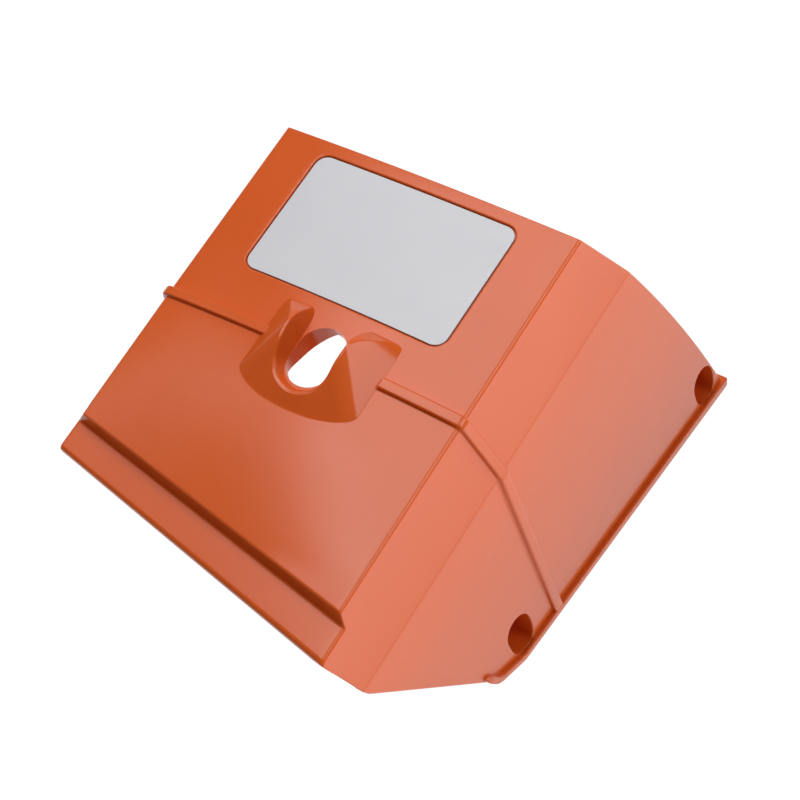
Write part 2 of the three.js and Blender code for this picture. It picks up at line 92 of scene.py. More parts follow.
FLANGE_SLOPE = 0.226
FLANGE_Z = -146.4
LIP_HEIGHT = 3.8
LIP_TAPER = 0.01
LIP_REACH = 1.8
RAIL_INSET = 0.3
RAIL_DROP = 0.5
LIP_TAIL = 13.0
LIP_EDGE_RADII = (0.5, 0.7)        # of its lower and its upper outer edge
LIP_TAIL_END = (1.7, 4.5)          # how far the tail's end narrows, and over what length
LIP_FRONT_END = (0.9, 0.9)
LIP_BEND_RADII = (0, 1.5, 1.2, 1.2, 3, 3, 0)
CORNER_OUT = 2.9
CORNER_BULGE = 0.7
CORNER_ABOVE = (4.0, 1.5)          # where the tail starts to bend, measured up from the corner
CORNER_AHEAD = 1.6
KINK_Y = -69.5
KINK_SLOPE = 0.65
KINK_HALF = 1.0
WEDGE_REACH = 12.0
WEDGE_DEPTH = 8.0
FRONT_FOOT_Y = 77.2
REAR_FOOT_Y = -80.5
REAR_SHOULDER_Y = -130.3
FRONT_SHOULDER_Y = 39.6
FRONT_EDGE_BOW = (62.7, -95.8)
LEFT_WALL_Z = -48.0
LEFT_FRONT = (40.0, 45.0)          # y of the left wall's front edge, at its shoulder and its foot
LEFT_REAR = (-96.0, -88.5)

BEAD_FRONT_Y = -42.8
BEAD_WIDTH = 4.6
BEAD_LEFT_WIDTH = 4.0
BEAD_FOOT_WIDTH = 5.2
BEAD_HEIGHT = 1.7
BEAD_TAPER = 0.45
BEAD_FOOT_RADIUS = 0.35
BEAD_CREST_RADII = (0.75, 0.6)     # at its back and at its front
BEAD_CREASE_RADIUS = 3.6
BEAD_ENDS = (-14.6, 29.4)          # x where it stops on the left and on the right of the boss

PLATE_LENGTH = 81.0
PLATE_WIDTH = 49.8
PLATE_X = -0.65
PLATE_Y = -0.45
PLATE_RADIUS = 4.5
PLATE_THICK = 0.65
PLATE_SUNK = 0.3
FILM_THICK = 0.15
FILM_INSET = 1.0
REST_GAP = 0.1
RECESS_MARGIN = 0.45
RECESS_DEPTH = PLATE_SUNK + PLATE_THICK + FILM_THICK + 2 * REST_GAP
# The recess's edge, from its side up: the outline's growth and the height above the panel.
RECESS_EDGE = ((0.0, -0.5), (0.1, -0.25), (0.3, -0.08), (0.6, 0.0), (0.9, 0.05), (0.9, 3.0))
# The plate's edge, from its side up: the outline's inset and the depth below the plate's face.
PLATE_EDGE = ((0.0, 0.25), (0.07, 0.08), (0.25, 0.0))

BOSS_X = 4.8
BOSS_TOP = 11.8
BOSS_SUNK = 1.5
BOSS_LEFT_SHARE = 0.915
CREST_RADIUS = 0.65
CREST_LIMIT = 0.92                 # the crest's greatest share of the wall's width
INNER_FACE = (0.3, 1.5)            # run and rise of the inner face just below the crest
SIDE_FILLET = 0.8
BACK_FILLET = 2.6                  # added to the side fillet where the wall faces the rear
FOOT_SUNK = 0.02
FOOT_EDGE_SUNK = 0.08
HOLE_HALF_WIDTH = 8.6
HOLE_FRONT_Y = -43.2
HOLE_REAR_Y = -49.0
SKIRT_WALL = 2.2
SKIRT_Z = -6.0
SKIRT_SLOPE_X = 0.92
SKIRT_SLOPE_Y = -0.38
SKIRT_LEVEL = 3.4
SKIRT_TOP = 1.2
SLANT_PLAN = ((-30, -90), (40, -90), (40, -10), (-30, -10))
SLANT_DEPTH = -60.0
OPENING_REACH = 40.0               # how far the opening's tool reaches above and below the panel

POCKET_HALF_WIDTH = 6.6
POCKET_HALF_HEIGHT = 9.2
POCKET_RISE = 17.0
POCKET_DEPTH = 12.0
POCKET_WALL = 2.2
POCKET_YS = (-65.3, 65.4)
POCKET_RAISE = 0.3
POCKET_OVERLAP = 0.7               # how far below the lip's top the pocket ends
POCKET_FULLNESS = 0.75             # power of its lower curve; 1 gives half an ellipse
# The pocket's back and mouth: the distance from its back or from the wall's face, and the
# outline's growth.
POCKET_BACK = ((0.0, -3.2), (0.3, -2.1), (1.0, -1.1), (2.2, -0.4), (3.8, -0.1), (5.5, 0.0))
POCKET_MOUTH = ((-0.6, 0.0), (-0.35, 0.05), (-0.15, 0.2), (0.0, 0.5), (0.6, 0.8))
HOUSING_INSET = 0.25
SCREW_HOLE_RADIUS = 2.9

RIB_THICK = 1.8
RIB_DEPTH = 6.0
RIB_YS = (-20.0, -75.0)
RIB_END_GAP = 1.5
RIB_SUNK = 1.0
RIB_STEPS = 24

SHELL_SHARP_DEGREES = 32
PLATE_SHARP_DEGREES = 40

MM = 0.001


# ---- where the design frame's origin lies in the shared frame ------------------------------------
def frame_origin():
    plate_low, plate_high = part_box("nameplate")
    shell_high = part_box("cover_shell")[1]
    return np.array([
        (plate_low[0] + plate_high[0]) / 2 - PLATE_X * MM,
        (plate_low[1] + plate_high[1]) / 2 - PLATE_Y * MM,
        shell_high[2] - BOSS_TOP * MM,
    ])


ORIGIN = frame_origin()


# ---- small helpers -------------------------------------------------------------------------------
def lerp(a, b, share):
    return a + (b - a) * share


def clamp(value, low, high):
    return max(low, min(high, value))


def unit(vector):
    return vector / np.linalg.norm(vector)


ARC_ROOM = 0.48                    # an arc takes at most this share of the shorter piece beside it
STRAIGHT_ROOM = 0.3                # and this share of that where the path hardly bends
STRAIGHT_HALF_ANGLE = math.radians(89.5)


def rounded_path(points, radii, segments=5):
    """The path with an arc at each inner point whose radius isn't 0, in 2-D or 3-D."""
    points = [np.array(p, float) for p in points]
    path = [points[0]]
    for k in range(1, len(points) - 1):
        here = points[k]
        if radii[k] <= 0:
            path.append(here)
            continue
        back_length = np.linalg.norm(points[k - 1] - here)
        ahead_length = np.linalg.norm(points[k + 1] - here)
        back = (points[k - 1] - here) / back_length
        ahead = (points[k + 1] - here) / ahead_length
        half = 0.5 * math.acos(clamp(float(back @ ahead), -1.0, 1.0))
        room = ARC_ROOM * min(back_length, ahead_length)
        if half > STRAIGHT_HALF_ANGLE:
            start = here + back * STRAIGHT_ROOM * room
            end = here + ahead * STRAIGHT_ROOM * room
            path += [lerp(start, end, s / segments) for s in range(segments + 1)]
            continue
        reach = min(radii[k] / math.tan(half), room)
        centre = here + unit(back + ahead) * (reach / math.cos(half))
        start = here + back * reach - centre
        end = here + ahead * reach - centre
        sweep = math.pi - 2 * half
        for s in range(segments + 1):
            share = s / segments
            arm = math.sin((1 - share) * sweep) * start + math.sin(share * sweep) * end
            path.append(centre + arm / math.sin(sweep))
    path.append(points[-1])
    return path


def mesh_object(name, points, faces):
    """A mesh object from points in millimetres in the design frame."""
    mesh = bpy.data.meshes.new(name)
    mesh.from_pydata([tuple(np.array(p) * MM + ORIGIN) for p in points], [], faces)
    mesh.validate()
    obj = bpy.data.objects.new(name, mesh)
    bpy.context.scene.collection.objects.link(obj)
    work = bmesh.new()
    work.from_mesh(mesh)
    bmesh.ops.recalc_face_normals(work, faces=work.faces)
    work.to_mesh(mesh)
    work.free()
    return obj


def loft(name, loops):
    """A closed body through a row of loops with equal numbers of points."""
    count = len(loops[0])
    points = [p for loop in loops for p in loop]
    faces = []
    for row in range(len(loops) - 1):
        for i in range(count):
            a = row * count + i
            b = row * count + (i + 1) % count
            faces.append((a, b, b + count, a + count))
    faces.append(tuple(range(count)))
    last = (len(loops) - 1) * count
    faces.append(tuple(last + i for i in range(count)))
    return mesh_object(name, points, faces)


def apply_modifiers(obj):
    graph = bpy.context.evaluated_depsgraph_get()
    mesh = bpy.data.meshes.new_from_object(obj.evaluated_get(graph))
    obj.modifiers.clear()
    obj.data = mesh


def cut_or_join(obj, tool, operation):
    modifier = obj.modifiers.new(operation, "BOOLEAN")
    modifier.operation = operation
    modifier.solver = "MANIFOLD"
    modifier.object = tool
    apply_modifiers(obj)
    bpy.data.objects.remove(tool)


def smooth_by_angle(obj, degrees):
    for polygon in obj.data.polygons:
        polygon.use_smooth = True
    work = bmesh.new()
    work.from_mesh(obj.data)
    for edge in work.edges:
        edge.smooth = edge.calc_face_angle(0) < math.radians(degrees)
    work.to_mesh(obj.data)
    work.free()
    weighted = obj.modifiers.new("weighted", "WEIGHTED_NORMAL")
    weighted.keep_sharp = True
    apply_modifiers(obj)


# ---- the surfaces --------------------------------------------------------------------------------
def crown_line(y):
    if y > CROWN_Y:
        return lerp(CROWN_MAX, CROWN_FRONT, (y - CROWN_Y) / (FRONT_Y - CROWN_Y))
    return CROWN_MAX * math.cos(math.pi / 2 * min(1.0, (CROWN_Y - y) / CROWN_RUN))


def top_z(x, y):
    return crown_line(y) * max(0.0, 1 - (x / TOP_HALF_WIDTH) ** 2)


def flange_z(y):
    return FLANGE_Z - FLANGE_SLOPE * y


def kink_z(y):
    return flange_z(KINK_Y) + KINK_SLOPE * (KINK_Y - y)


def lip_height(y):
    return LIP_HEIGHT + LIP_TAPER * y


def rear_y(x):
    return REAR_Y - REAR_SKEW * x


def step_y(x):
    return STEP_Y - STEP_SKEW * x


def facet_x(z):
    return TOP_HALF_WIDTH + (SHOULDER_X - TOP_HALF_WIDTH) * z / SHOULDER_Z


def left_inset(y):
    return LEFT_TAPER * clamp((BEAD_FRONT_Y - y) / (BEAD_FRONT_Y - STEP_Y), 0.0, 1.0)


def front_edge(share):
    """(y, z) on the long wall's front edge, from the shoulder down to the flange."""
    start = np.array([FRONT_SHOULDER_Y, SHOULDER_Z])
    bow = np.array(FRONT_EDGE_BOW)
    end = np.array([FRONT_FOOT_Y, flange_z(FRONT_FOOT_Y)])
    return (1 - share) ** 2 * start + 2 * share * (1 - share) * bow + share ** 2 * end


def rear_edge(share):
    """(y, z) on the long wall's rear edge, from the shoulder down to the flange."""
    start = np.array([REAR_SHOULDER_Y, SHOULDER_Z])
    end = np.array([REAR_FOOT_Y, flange_z(REAR_FOOT_Y)])
    cut = np.array([SHOULDER_CUT * max(0.0, 1 - share / SHOULDER_CUT_SHARE), 0.0])
    return lerp(start, end, share) + cut


# ---- the shell's wall, as one grid of rows (back to front) by columns (left foot to right foot) --
RIGHT_WALL_STEPS = 22
LEFT_WALL_STEPS = 6
FACET_STEPS = 4
TOP_STEPS = (16, 18, 12)           # left of the boss, across it and right of it
BACK_ROWS = 22
FRONT_ROWS = 24
TOP_EDGE_CLEAR = 2.6               # the creases' arcs fit between the edge and the first top column
BEAD_CLEAR = 0.9                   # flat land on both sides of the bead
BEAD_END_RUN = 0.5
STEP_CLEAR = 3.0
SHELF = STEP_Y - REAR_Y
LIP_ROW_SHARE = 0.75               # place of the one row on the rear lip's face
SIDE_REACH = 85.0                  # a side wall this long behind the bead has the shelf's row spacing
ROW_GAP = 0.1                      # keeps a side wall's rear rows apart where the shelf's share one y
RIM_CLEAR = 0.5                    # room for the rim's rounding between the first of them and the next
EDGE_POWER = 8                     # keeps the long wall's thinning and its drop close to its edges


def spread(low, high, steps):
    return [lerp(low, high, k / steps) for k in range(steps + 1)]


def top_columns():
    """x of the top's columns, closer together where the bead stops beside the boss."""
    limit = TOP_HALF_WIDTH - TOP_EDGE_CLEAR
    left, right = BEAD_ENDS
    return (spread(-limit, left - BEAD_END_RUN, TOP_STEPS[0]) + spread(left, right, TOP_STEPS[1])
            + spread(right + BEAD_END_RUN, limit, TOP_STEPS[2]))


def even_points(corners, count):
    """Evenly spaced points along a path of straight pieces, both ends included."""
    corners = np.array(corners, float)
    reach = np.concatenate([[0.0], np.cumsum(np.linalg.norm(np.diff(corners, axis=0), axis=1))])
    at = np.linspace(0.0, reach[-1], count)
    return np.column_stack([np.interp(at, reach, corners[:, k]) for k in range(corners.shape[1])])


def row_list():
    """The rows: at the back with their own profile, then the panel, the bead and the panel again."""
    outside = rounded_path(
        [(0, -STEP_DROP - REAR_LIP), (0, -STEP_DROP), (SHELF - STEP_RUN, -STEP_DROP), (SHELF, 0),
         (SHELF + STEP_CLEAR, 0)],
        [0, REAR_RADIUS, RISER_RADIUS, RISER_RADIUS, 0], segments=6)
    outside.insert(1, np.array([0, -STEP_DROP - LIP_ROW_SHARE * REAR_LIP]))
    under = -STEP_DROP - WALL
    inside = even_points(
        [(WALL, -STEP_DROP - REAR_LIP), (WALL, under), (SHELF - STEP_RUN + WALL, under),
         (SHELF + WALL, -WALL), (SHELF + STEP_CLEAR + WALL, -WALL)], len(outside))
    rows = [{"zone": "rear", "outside": outside[k], "inside": inside[k], "order": k}
            for k in range(len(outside))]
    rows += [{"zone": "back", "share": k / BACK_ROWS, "order": len(outside)}
             for k in range(1, BACK_ROWS)]
    bead = rounded_path(
        [(-BEAD_CLEAR, 0), (0, 0), (BEAD_TAPER, BEAD_HEIGHT), (BEAD_WIDTH - BEAD_TAPER, BEAD_HEIGHT),
         (BEAD_WIDTH, 0), (BEAD_WIDTH + BEAD_CLEAR, 0)],
        [0, BEAD_FOOT_RADIUS, *BEAD_CREST_RADII, BEAD_FOOT_RADIUS, 0], segments=4)
    rows += [{"zone": "bead", "back": BEAD_WIDTH - along, "lift": lift} for along, lift in bead]
    rows += [{"zone": "front", "share": k / FRONT_ROWS} for k in range(1, FRONT_ROWS + 1)]
    return rows


def bead_y(back, width):
    """y of a point of the bead's profile, where the bead is this wide."""
    return BEAD_FRONT_Y - back * width / BEAD_WIDTH


def row_y(row, rear, front, width, shelf_scale=None):
    """The row's y between a rear and a front boundary; shelf_scale is left out for a side wall."""
    start = bead_y(BEAD_WIDTH + BEAD_CLEAR, width)
    end = bead_y(-BEAD_CLEAR, width)
    scale = shelf_scale if shelf_scale else (start - rear) / SIDE_REACH
    gap = 0.0 if shelf_scale else ROW_GAP
    if row["zone"] == "rear":
        clear_of_rim = RIM_CLEAR if gap and row["order"] else 0.0
        return rear + clear_of_rim + (row["outside"][0] + gap * row["order"]) * scale
    if row["zone"] == "back":
        first = rear + (SHELF + STEP_CLEAR + gap * row["order"]) * scale
        return lerp(first, start, row["share"])
    if row["zone"] == "bead":
        return bead_y(row["back"], width)
    return lerp(end, front, row["share"])


def side_point(row, sign, share, inner):
    """A point of a side wall: share 0 at the shoulder, 1 at the foot."""
    if sign > 0:
        rear, front = rear_edge(share), front_edge(share)
        width = lerp(BEAD_WIDTH, BEAD_FOOT_WIDTH, share)
    else:
        rear = np.array([lerp(LEFT_REAR[0], LEFT_REAR[1], share), 0])
        front = np.array([lerp(LEFT_FRONT[0], LEFT_FRONT[1], share), 0])
        width = BEAD_LEFT_WIDTH
    y = row_y(row, rear[0], front[0], width)
    if sign < 0:
        z = lerp(SHOULDER_Z - (SHOULDER_THIN if inner else 0.0), LEFT_WALL_Z, share)
    else:
        z = lerp(rear[1], front[1], (y - rear[0]) / (front[0] - rear[0]))
        z += RAIL_DROP * share ** EDGE_POWER
        z -= SHOULDER_THIN * (1 - share) ** EDGE_POWER if inner else 0.0
    return np.array([sign * (SHOULDER_X - (WALL if inner else 0.0)), y, z])


def top_point(row, x, edge_sign, inner):
    """A point of the top panel or the shelf; at its edges edge_sign is -1 or 1."""
    width = BEAD_LEFT_WIDTH if x < BOSS_X else BEAD_WIDTH
    if row["zone"] == "rear":
        along, z = row["inside"] if inner else row["outside"]
        if edge_sign > 0 and z < -STEP_DROP and not inner:
            z = (z + STEP_DROP) * REAR_LIP_END / REAR_LIP - STEP_DROP
        raised = clamp(1 + (z + (WALL if inner else 0.0)) / STEP_DROP, 0.0, 1.0)
        if edge_sign:
            flare = lerp(LEFT_FLARE, -LEFT_TAPER, raised) if edge_sign < 0 else 0.0
            x = edge_sign * (facet_x(min(0.0, z)) + flare - (CREASE_INSET if inner else 0.0))
        y = rear_y(x) + along * (step_y(x) - rear_y(x)) / SHELF
        return np.array([x, y, z + raised * top_z(x, y)])
    shelf_scale = (step_y(x) - rear_y(x)) / SHELF
    y = row_y(row, rear_y(x), FRONT_Y, width, shelf_scale)
    if inner and row["zone"] == "back":
        y += WALL * (1 - row["share"])
    if edge_sign:
        x = edge_sign * (TOP_HALF_WIDTH - (CREASE_INSET if inner else 0.0))
        x += left_inset(y) if edge_sign < 0 else 0.0
    return np.array([x, y, top_z(x, y) - (WALL if inner else 0.0)])


def section(row, inner):
    """One row's points from the left foot over the top to the right foot."""
    raised = row.get("lift", 0.0) / BEAD_HEIGHT
    crease_radius = lerp(CREASE_RADIUS, BEAD_CREASE_RADIUS, raised)

    def half(sign):
        steps = RIGHT_WALL_STEPS if sign > 0 else LEFT_WALL_STEPS
        wall = [side_point(row, sign, k / steps, inner) for k in range(steps + 1)]
        crease = top_point(row, sign * TOP_HALF_WIDTH, sign, inner)
        facet = [lerp(crease, wall[0], k / FACET_STEPS) for k in range(1, FACET_STEPS)]
        bends = [crease_radius] + [0.0] * len(facet) + [SHOULDER_RADIUS] + [0.0] * steps
        return [crease] + facet + wall, bends

    left, left_bends = half(-1)
    right, right_bends = half(1)
    top = [top_point(row, x, 0, inner) for x in top_columns()]
    radii = left_bends[::-1] + [0.0] * len(top) + right_bends
    path = rounded_path(left[::-1] + top + right, radii, segments=6)
    if row["zone"] == "bead" and not inner:
        path = lifted(path, row["lift"])
    return np.array(path)


def lifted(path, lift):
    """The path pushed outwards, square to itself seen from the end, except between the bead's ends."""
    path = np.array(path)
    before = np.vstack([path[:1], path[:-1]])
    after = np.vstack([path[1:], path[-1:]])
    along = (after - before)[:, [0, 2]]
    along /= np.linalg.norm(along, axis=1)[:, None]
    outward = np.column_stack([-along[:, 1], np.zeros(len(path)), along[:, 0]])
    left, right = BEAD_ENDS
    half_run = BEAD_END_RUN / 2
    stands = (path[:, 0] < left - half_run) | (path[:, 0] > right + half_run)
    return path + outward * (lift * stands)[:, None]


def rim_rows(start, before_start, end, before_end):
    """Rows that carry one skin's last row round to the other skin, with both corners rounded."""
    rows = []
    across = end - start
    across /= np.linalg.norm(across, axis=1)[:, None]
    for edge, before, inward in ((start, before_start, across), (end, before_end, -across)):
        forward = edge - before
        forward /= np.linalg.norm(forward, axis=1)[:, None]
        arc = [math.radians(angle) for angle in (0, 30, 60, 90)]
        corner = [edge - forward * RIM_RADIUS * (1 - math.sin(a)) + inward * RIM_RADIUS * (1 - math.cos(a))
                  for a in arc]
        rows += corner if edge is start else corner[::-1]
    return rows


def shell_wall():
    rows = row_list()
    outer = [section(row, inner=False) for row in rows]
    inner = [section(row, inner=True) for row in rows]
    front = rim_rows(outer[-1], outer[-2], inner[-1], inner[-2])
    rear = rim_rows(inner[0], inner[1], outer[0], outer[1])
    skin = len(rows) - 2
    ring = outer[1:-1] + front + inner[-2:0:-1] + rear
    count = len(ring[0])
    total = len(ring)
    faces = []
    for r in range(total):
        ahead = (r + 1) % total
        for c in range(count - 1):
            a = r * count + c
            b = ahead * count + c
            faces.append((a, a + 1, b + 1, b))
    first_inner = skin + len(front)
    for c in (0, count - 1):
        for r in range(skin - 1):
            mate = first_inner + skin - 1 - r
            faces.append(tuple(k * count + c for k in (r, r + 1, mate - 1, mate)))
        faces.append(tuple(k * count + c for k in range(skin - 1, first_inner + 1)))
        faces.append(tuple((k % total) * count + c for k in range(first_inner + skin - 1, total + 1)))
    return mesh_object("cover_shell_moulding", [p for row in ring for p in row], faces)


# ---- the boss ------------------------------------------------------------------------------------
# A C-shaped wall around the back of the opening, with a tall horn on each side. Each station gives,
# from the boss's centre line: inner foot x and y, crest x, y and z, the crest's width, outer foot
# x and y.
BOSS_STATIONS = (
    (11.8, -30.0, 12.8, -30.1, 3.2, 7.5, 22.8, -30.4),
    (10.8, -30.5, 12.0, -30.6, 4.2, 8.0, 23.8, -31.0),
    (9.9, -31.4, 11.4, -31.6, 5.4, 7.6, 24.3, -32.2),
    (9.3, -33.2, 11.2, -33.4, 7.3, 6.2, 24.5, -34.5),
    (9.0, -35.6, 11.2, -35.8, 9.6, 3.8, 24.6, -38.0),
    (8.8, -38.2, 11.2, -38.4, 11.2, 2.0, 24.7, -44.0),
    (8.6, -40.3, 11.2, -40.5, 11.8, 1.5, 24.7, -58.6),
    (8.4, -43.0, 11.1, -43.4, 11.7, 1.5, 23.4, -60.9),
    (8.3, -46.0, 10.8, -46.8, 11.2, 1.5, 21.0, -62.5),
    (8.1, -50.0, 9.9, -53.0, 8.4, 1.5, 16.0, -64.5),
    (5.5, -55.3, 6.3, -58.2, 6.3, 1.5, 8.8, -66.0),
    (0.0, -57.4, 0.0, -60.4, 5.8, 1.5, 0.6, -66.4),
)
STATION_SPACING = 0.7
FOOT_RUN = 2.6


def smooth_stations():
    """The stations and more between them, eased so that nothing overshoots."""
    rows = np.array(BOSS_STATIONS)
    gaps = np.linalg.norm(np.diff(rows[:, 2:5], axis=0), axis=1)
    slopes = np.diff(rows, axis=0) / gaps[:, None]
    tangents = np.zeros_like(rows)
    tangents[0] = slopes[0]
    tangents[-1, [0, 2, 6]] = slopes[-1, [0, 2, 6]]
    agree = slopes[:-1] * slopes[1:] > 0
    total = np.where(agree, slopes[:-1] + slopes[1:], 1.0)
    tangents[1:-1] = np.where(agree, 2 * slopes[:-1] * slopes[1:] / total, 0.0)
    result = []
    for k, gap in enumerate(gaps):
        steps = max(3, round(gap / STATION_SPACING))
        for t in np.arange(steps) / steps:
            result.append((1 + 2 * t) * (1 - t) ** 2 * rows[k] + t * (1 - t) ** 2 * gap * tangents[k]
                          + t * t * (3 - 2 * t) * rows[k + 1] - t * t * (1 - t) * gap * tangents[k + 1])
    result.append(rows[-1])
    return result


def boss_loop(station, sign):
    """The boss wall's section at a station, on the right (sign 1) or mirrored to the left (-1)."""
    inner_x, inner_y, crest_x, crest_y, crest_z, land, outer_x, outer_y = station
    outer_x *= BOSS_LEFT_SHARE if sign < 0 else 1.0
    crest = np.array([crest_x, crest_y])
    toward = np.array([outer_x, outer_y]) - crest
    length = np.linalg.norm(toward)
    toward /= length

    def plan(distance):
        x, y = crest + toward * distance
        return BOSS_X + sign * x, y

    foot = top_z(*plan(length))
    fillet = SIDE_FILLET + BACK_FILLET * max(0.0, -toward[1]) ** 2
    beyond = length + FOOT_RUN
    profile = rounded_path(
        [(-INNER_FACE[0], crest_z - INNER_FACE[1]), (0.0, crest_z),
         (min(land, CREST_LIMIT * length), crest_z), (length, foot - FOOT_SUNK),
         (beyond, top_z(*plan(beyond)) - FOOT_EDGE_SUNK), (beyond, foot - BOSS_SUNK)],
        [0, CREST_RADIUS, CREST_RADIUS, fillet, 0, 0], segments=5)
    inner = (BOSS_X + sign * inner_x, inner_y)
    return [(*inner, top_z(*inner) - BOSS_SUNK)] + [(*plan(d), z) for d, z in profile[1:]]


def boss_wall():
    stations = smooth_stations()
    right = [boss_loop(s, 1) for s in stations]
    left = [boss_loop(s, -1) for s in reversed(stations[:-1])]
    return loft("boss", right + left)


def slot_outline(margin, steps=20):
    """The opening's outline in plan: straight sides and two round ends."""
    radius = HOLE_HALF_WIDTH + margin
    outline = []
    for centre, first in ((HOLE_FRONT_Y, 0.0), (HOLE_REAR_Y, math.pi)):
        for angle in spread(first, first + math.pi, steps):
            outline.append((BOSS_X + radius * math.cos(angle), centre + radius * math.sin(angle)))
    return outline


def slot_body(margin, low, high):
    return loft("slot", [[(x, y, z) for x, y in slot_outline(margin)] for z in (low, high)])


def slot_skirt():
    """A collar that hangs below the panel and is cut off along a slanting plane."""
    collar = slot_body(SKIRT_WALL, SKIRT_Z, SKIRT_TOP)
    low = [(x, y, SLANT_DEPTH) for x, y in SLANT_PLAN]
    high = [(x, y, SKIRT_LEVEL + SKIRT_SLOPE_X * (x - BOSS_X) + SKIRT_SLOPE_Y * (y - HOLE_FRONT_Y))
            for x, y in SLANT_PLAN]
    cut_or_join(collar, loft("slant", [low, high]), "DIFFERENCE")
    return collar


# ---- plate, film and recess ----------------------------------------------------------------------
def plate_outline(grow, corner_steps=10, side_steps=10):
    half_length = PLATE_LENGTH / 2 + grow
    half_width = PLATE_WIDTH / 2 + grow
    radius = PLATE_RADIUS + grow
    corners = []
    for quarter, (sx, sy) in enumerate(((1, 1), (-1, 1), (-1, -1), (1, -1))):
        corner = []
        for angle in spread(quarter * math.pi / 2, (quarter + 1) * math.pi / 2, corner_steps):
            corner.append((PLATE_X + sx * (half_length - radius) + radius * math.cos(angle),
                           PLATE_Y + sy * (half_width - radius) + radius * math.sin(angle)))
        corners.append(corner)
    outline = []
    for k, corner in enumerate(corners):
        target = corners[(k + 1) % 4][0]
        outline += corner
        # Points along the straight sides let the edges follow the crown.
        for s in range(1, side_steps):
            outline.append((lerp(corner[-1][0], target[0], s / side_steps),
                            lerp(corner[-1][1], target[1], s / side_steps)))
    return outline


def crown_slab(name, layers, rings=8):
    """A slab that follows the crown; its layers, bottom first, are (growth, height above the panel)."""
    def loop(grow, height, share=1.0):
        points = []
        for x, y in plate_outline(grow):
            x = lerp(PLATE_X, x, share)
            y = lerp(PLATE_Y, y, share)
            points.append((x, y, top_z(x, y) + height))
        return points
    below = [loop(*layers[0], k / rings) for k in range(1, rings)]
    above = [loop(*layers[-1], 1 - k / rings) for k in range(1, rings)]
    return loft(name, below + [loop(*layer) for layer in layers] + above)


def recess_tool():
    edge = [(RECESS_MARGIN + grow, height) for grow, height in RECESS_EDGE]
    return crown_slab("recess", [(RECESS_MARGIN, -RECESS_DEPTH)] + edge)


def nameplate():
    edge = [(-inset, -PLATE_SUNK - depth) for inset, depth in PLATE_EDGE]
    return crown_slab("nameplate_plate", [(0.0, -PLATE_SUNK - PLATE_THICK)] + edge, rings=10)


def adhesive_film():
    low = -RECESS_DEPTH + REST_GAP
    return crown_slab("nameplate_film", [(-FILM_INSET, low), (-FILM_INSET, low + FILM_THICK)])


# ---- screw pockets -------------------------------------------------------------------------------
def pocket_outline(y, grow, upper_steps=28, lower_steps=20):
    """An egg shape: half an ellipse above its widest place, and a fuller curve down to the lip below."""
    half = POCKET_HALF_WIDTH + grow
    below = POCKET_RISE - lip_height(y) + POCKET_OVERLAP + grow
    outline = []
    for angle in spread(0, math.pi, upper_steps):
        outline.append((half * math.cos(angle), (POCKET_HALF_HEIGHT + grow) * math.sin(angle)))
    for angle in spread(0, math.pi, lower_steps)[1:-1]:
        across = math.copysign(abs(math.cos(angle)) ** POCKET_FULLNESS, -math.cos(angle))
        outline.append((half * across, -below * math.sin(angle) ** POCKET_FULLNESS))
    return [(y + across, flange_z(y) + POCKET_RISE + up - FLANGE_SLOPE * across)
            for across, up in outline]


def housing_outline(y, steps=24):
    """The outline of the thicker wall around a pocket: flat below and half an ellipse above."""
    half = POCKET_HALF_WIDTH + POCKET_WALL
    floor = flange_z(y) + POCKET_RAISE
    fall = FLANGE_SLOPE * half
    outline = [(y - half, floor + fall), (y + half, floor - fall)]
    for angle in spread(0, math.pi, steps):
        outline.append((y + half * math.cos(angle),
                        flange_z(y) + POCKET_RISE + (POCKET_HALF_HEIGHT + POCKET_WALL) * math.sin(angle)))
    return outline


def pocket_tool(y):
    """A hollow in the long wall, rounded at its back and opening out a little at the wall's face."""
    back = SHOULDER_X - POCKET_DEPTH
    depths = [(back + distance, grow) for distance, grow in POCKET_BACK]
    depths += [(SHOULDER_X + distance, grow) for distance, grow in POCKET_MOUTH]
    return loft("pocket", [[(x, py, pz) for py, pz in pocket_outline(y, grow)] for x, grow in depths])


def wall_prism(inset, low_x, steps=12):
    """The room inside the long wall's edges, which keeps the housings from standing out."""
    outline = [(rear_edge(0.5)[0] + inset, rear_edge(0.5)[1]),
               (REAR_FOOT_Y + inset, flange_z(REAR_FOOT_Y) - inset),
               (FRONT_FOOT_Y - inset, flange_z(FRONT_FOOT_Y) - inset)]
    for k in range(steps - 1, -1, -1):
        y, z = front_edge(k / steps)
        outline.append((y - inset, z))
    return loft("wall_prism", [[(x, y, z) for y, z in outline] for x in (low_x, SHOULDER_X)])


def pocket_housing(y):
    back = SHOULDER_X - POCKET_DEPTH - POCKET_WALL
    depths = (back, SHOULDER_X - WALL / 2)
    housing = loft("housing", [[(x, py, pz) for py, pz in housing_outline(y)] for x in depths])
    cut_or_join(housing, wall_prism(HOUSING_INSET, back - 1), "INTERSECT")
    return housing


def screw_hole(y, steps=32):
    middle = SHOULDER_X - POCKET_DEPTH - POCKET_WALL / 2
    loops = []
    for x in (middle - POCKET_WALL, middle + POCKET_WALL):
        loop = []
        for k in range(steps):
            angle = 2 * math.pi * k / steps
            loop.append((x, y + SCREW_HOLE_RADIUS * math.cos(angle),
                         flange_z(y) + POCKET_RISE + SCREW_HOLE_RADIUS * math.sin(angle)))
        loops.append(loop)
    return loft("screw_hole", loops)


def corner_wedge():
    """What is cut from the long wall and the rear pocket below the rising rear corner."""
    end = REAR_FOOT_Y - WEDGE_REACH
    low = kink_z(KINK_Y) - WEDGE_DEPTH
    outline = [(KINK_Y, kink_z(KINK_Y) + RAIL_DROP), (end, kink_z(end) + RAIL_DROP), (end, low),
               (KINK_Y, low)]
    return loft("wedge", [[(x, y, z) for y, z in outline] for x in (0.0, SHOULDER_X + 1)])


